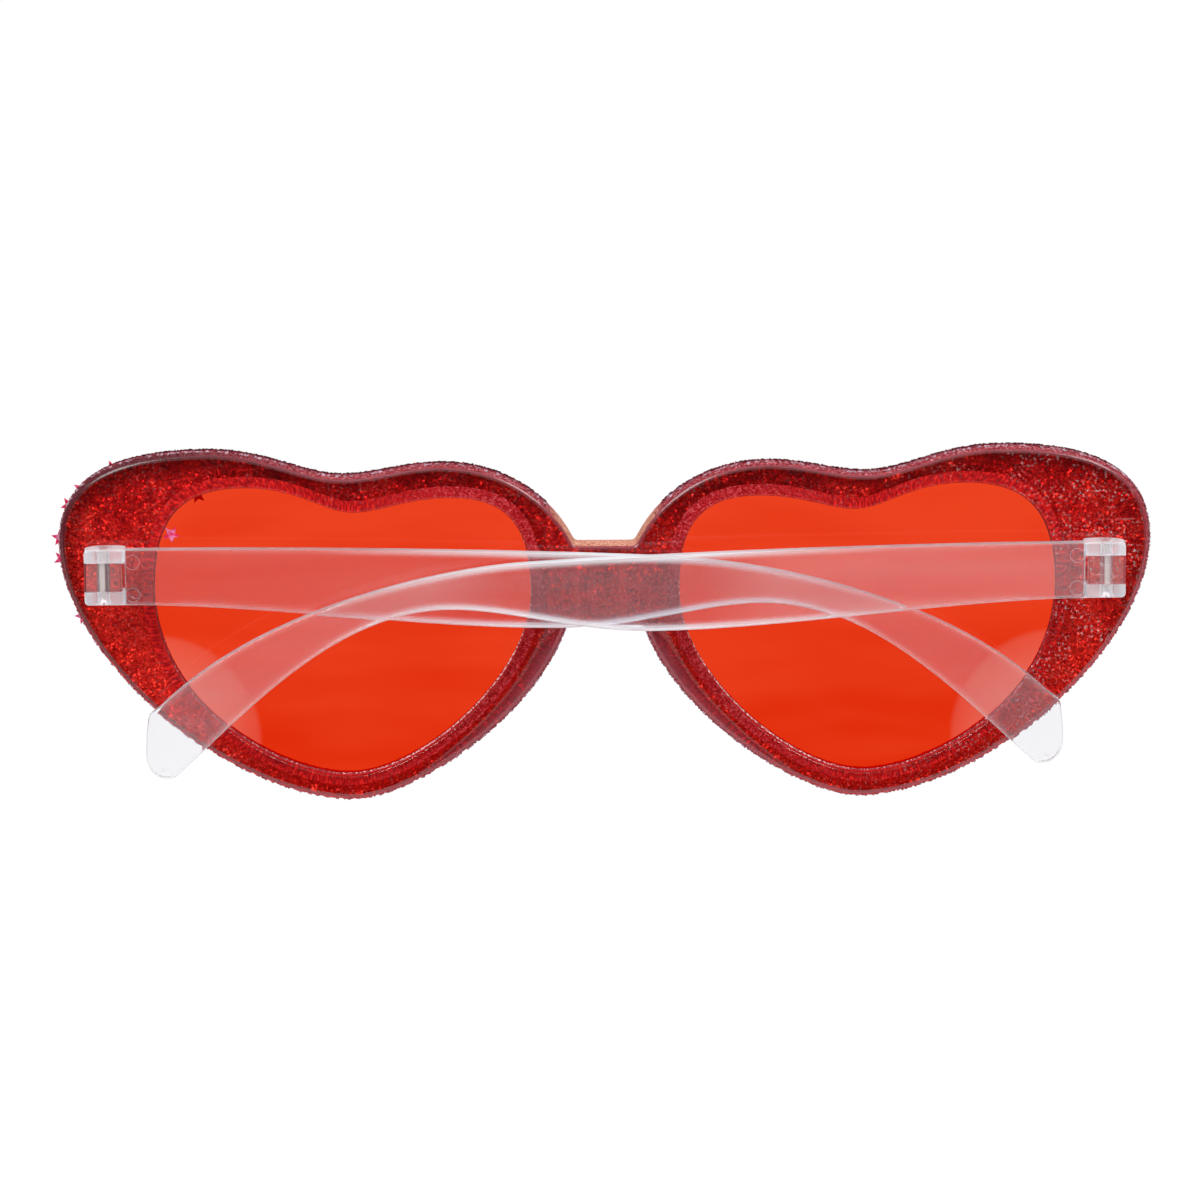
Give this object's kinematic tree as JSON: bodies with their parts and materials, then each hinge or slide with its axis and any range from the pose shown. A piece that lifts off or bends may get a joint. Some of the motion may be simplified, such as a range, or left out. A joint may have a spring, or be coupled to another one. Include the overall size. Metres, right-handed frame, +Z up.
{
  "type": "sunglasses",
  "caption": "Heart shaped party sunglasses: clear moulded front with a red glitter face, orange-red tinted lenses and clear folding temples on screw hinges.",
  "frame": {"origin": "middle of the nose saddle: the underside of the bridge at the back of the front", "axes": "+X towards the wearer's right, +Y out of the glitter face, +Z up as worn"},
  "size_m": [0.1539, 0.0129, 0.0496],
  "materials": {
    "clear_plastic": "clear moulded acrylic, glossy",
    "red_glitter": "red glitter flakes in clear resin",
    "pink_sequin": "pink foil sequins",
    "orange_lens": "orange-red tinted acrylic, polished",
    "screw_steel": "plated steel"
  },
  "bodies": {
    "front": {"front_frame": "clear_plastic", "glitter_facing": "red_glitter", "star_sequins": "pink_sequin", "lens_left": "orange_lens", "lens_right": "orange_lens"},
    "left_arm": {"temple_left": "clear_plastic", "hinge_screw_left": "screw_steel"},
    "right_arm": {"temple_right": "clear_plastic", "hinge_screw_right": "screw_steel"}
  },
  "joints": [
    {"name": "temple_left_fold", "type": "hinge", "parent": "front", "child": "left_arm", "pos_m": [-0.0698, -0.00285, 0.00815], "axis": [0, 0, -1], "range_deg": [0, 91.8]},
    {"name": "temple_right_fold", "type": "hinge", "parent": "front", "child": "right_arm", "pos_m": [0.0698, -0.00285, 0.00815], "axis": [0, 0, 1], "range_deg": [0, 89.3]}
  ]
}
